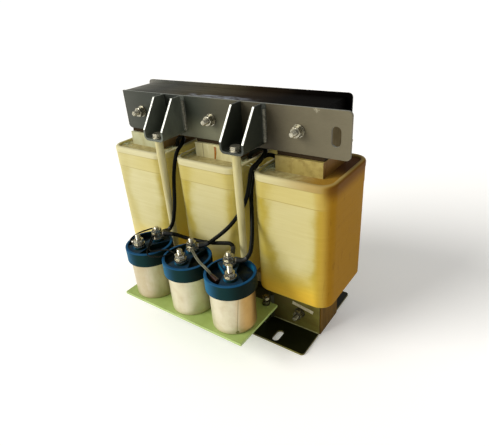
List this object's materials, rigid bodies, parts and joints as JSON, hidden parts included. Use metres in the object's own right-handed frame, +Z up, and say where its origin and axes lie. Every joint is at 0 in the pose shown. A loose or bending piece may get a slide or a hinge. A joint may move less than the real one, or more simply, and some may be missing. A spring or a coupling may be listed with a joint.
{
  "type": "three-phase sine wave filter",
  "caption": "Three-phase sine wave filter: taped coils on a clamped laminated core, with tie rods, slotted feet and can capacitors on an insulating board in front.",
  "frame": {"origin": "middle of the core's underside, on the floor", "axes": "+X along the core to the slotted end of the upper sheet, +Y to the rear, +Z up"},
  "size_m": [0.409, 0.244, 0.357],
  "materials": {
    "varnished_core": "black varnished steel laminations",
    "varnished_limb": "brown varnished steel laminations",
    "glass_epoxy": "pale green glass epoxy laminate",
    "insulating_sleeve": "varnished glass-cloth sleeve",
    "winding": "resin-soaked glass tape over copper",
    "coil_tape": "yellowed polyester glass tape, resin soaked",
    "pad_laminate": "pressed laminate block",
    "zinc_sheet": "zinc-plated steel sheet",
    "black_sheet": "black varnished steel sheet",
    "foot_sheet": "dark varnished steel sheet",
    "bracket_sheet": "varnished steel sheet with bare cut edges",
    "zinc_fastener": "pale zinc plating",
    "cream_tube": "glass-fibre insulating tube",
    "can_film": "pale film sleeve over an aluminium can",
    "blue_plastic": "moulded blue plastic",
    "tinned_copper": "tin-plated copper",
    "black_insulation": "black cable insulation",
    "grey_insulation": "grey wire insulation",
    "resistor_glaze": "brown glazed resistor body"
  },
  "bodies": {
    "root": {"bottom_yoke": "varnished_core", "top_yoke": "varnished_core", "limb_left": "varnished_limb", "limb_centre": "varnished_limb", "limb_right": "varnished_limb", "gap_spacers": "glass_epoxy", "capacitor_board": "glass_epoxy", "yoke_bolt_tubes": "glass_epoxy", "sleeve_left": "insulating_sleeve", "sleeve_centre": "insulating_sleeve", "sleeve_right": "insulating_sleeve", "coil_left": "winding", "coil_centre": "winding", "coil_right": "winding", "tape_left": "coil_tape", "tape_centre": "coil_tape", "tape_right": "coil_tape", "coil_pads": "pad_laminate", "top_clamp_front": "zinc_sheet", "board_rail": "zinc_sheet", "top_clamp_rear": "black_sheet", "base_angle_front": "foot_sheet", "base_angle_rear": "foot_sheet", "bracket_top_front_left": "bracket_sheet", "bracket_top_front_right": "bracket_sheet", "bracket_top_rear_left": "bracket_sheet", "bracket_top_rear_right": "bracket_sheet", "bracket_base_front_left": "bracket_sheet", "bracket_base_front_right": "bracket_sheet", "bracket_base_rear_left": "bracket_sheet", "bracket_base_rear_right": "bracket_sheet", "tie_rods": "zinc_fastener", "rod_nuts": "zinc_fastener", "rod_washers": "zinc_fastener", "yoke_bolts": "zinc_fastener", "yoke_nuts": "zinc_fastener", "yoke_washers": "zinc_fastener", "board_fixings": "zinc_fastener", "can_fixings": "zinc_fastener", "terminal_studs": "zinc_fastener", "terminal_nuts": "zinc_fastener", "terminal_washers": "zinc_fastener", "rod_tubes_front": "cream_tube", "rod_tubes_rear": "cream_tube", "capacitor_can_left": "can_film", "capacitor_can_centre": "can_film", "capacitor_can_right": "can_film", "capacitor_top_left": "blue_plastic", "capacitor_top_centre": "blue_plastic", "capacitor_top_right": "blue_plastic", "terminal_lugs": "tinned_copper", "power_terminals": "tinned_copper", "phase_lead_left": "black_insulation", "phase_lead_centre": "black_insulation", "phase_lead_right": "black_insulation", "bridge_lead": "black_insulation", "loop_lead": "black_insulation", "link_lead": "grey_insulation", "resistor_leads": "grey_insulation", "bleed_resistor": "resistor_glaze"}
  },
  "joints": []
}
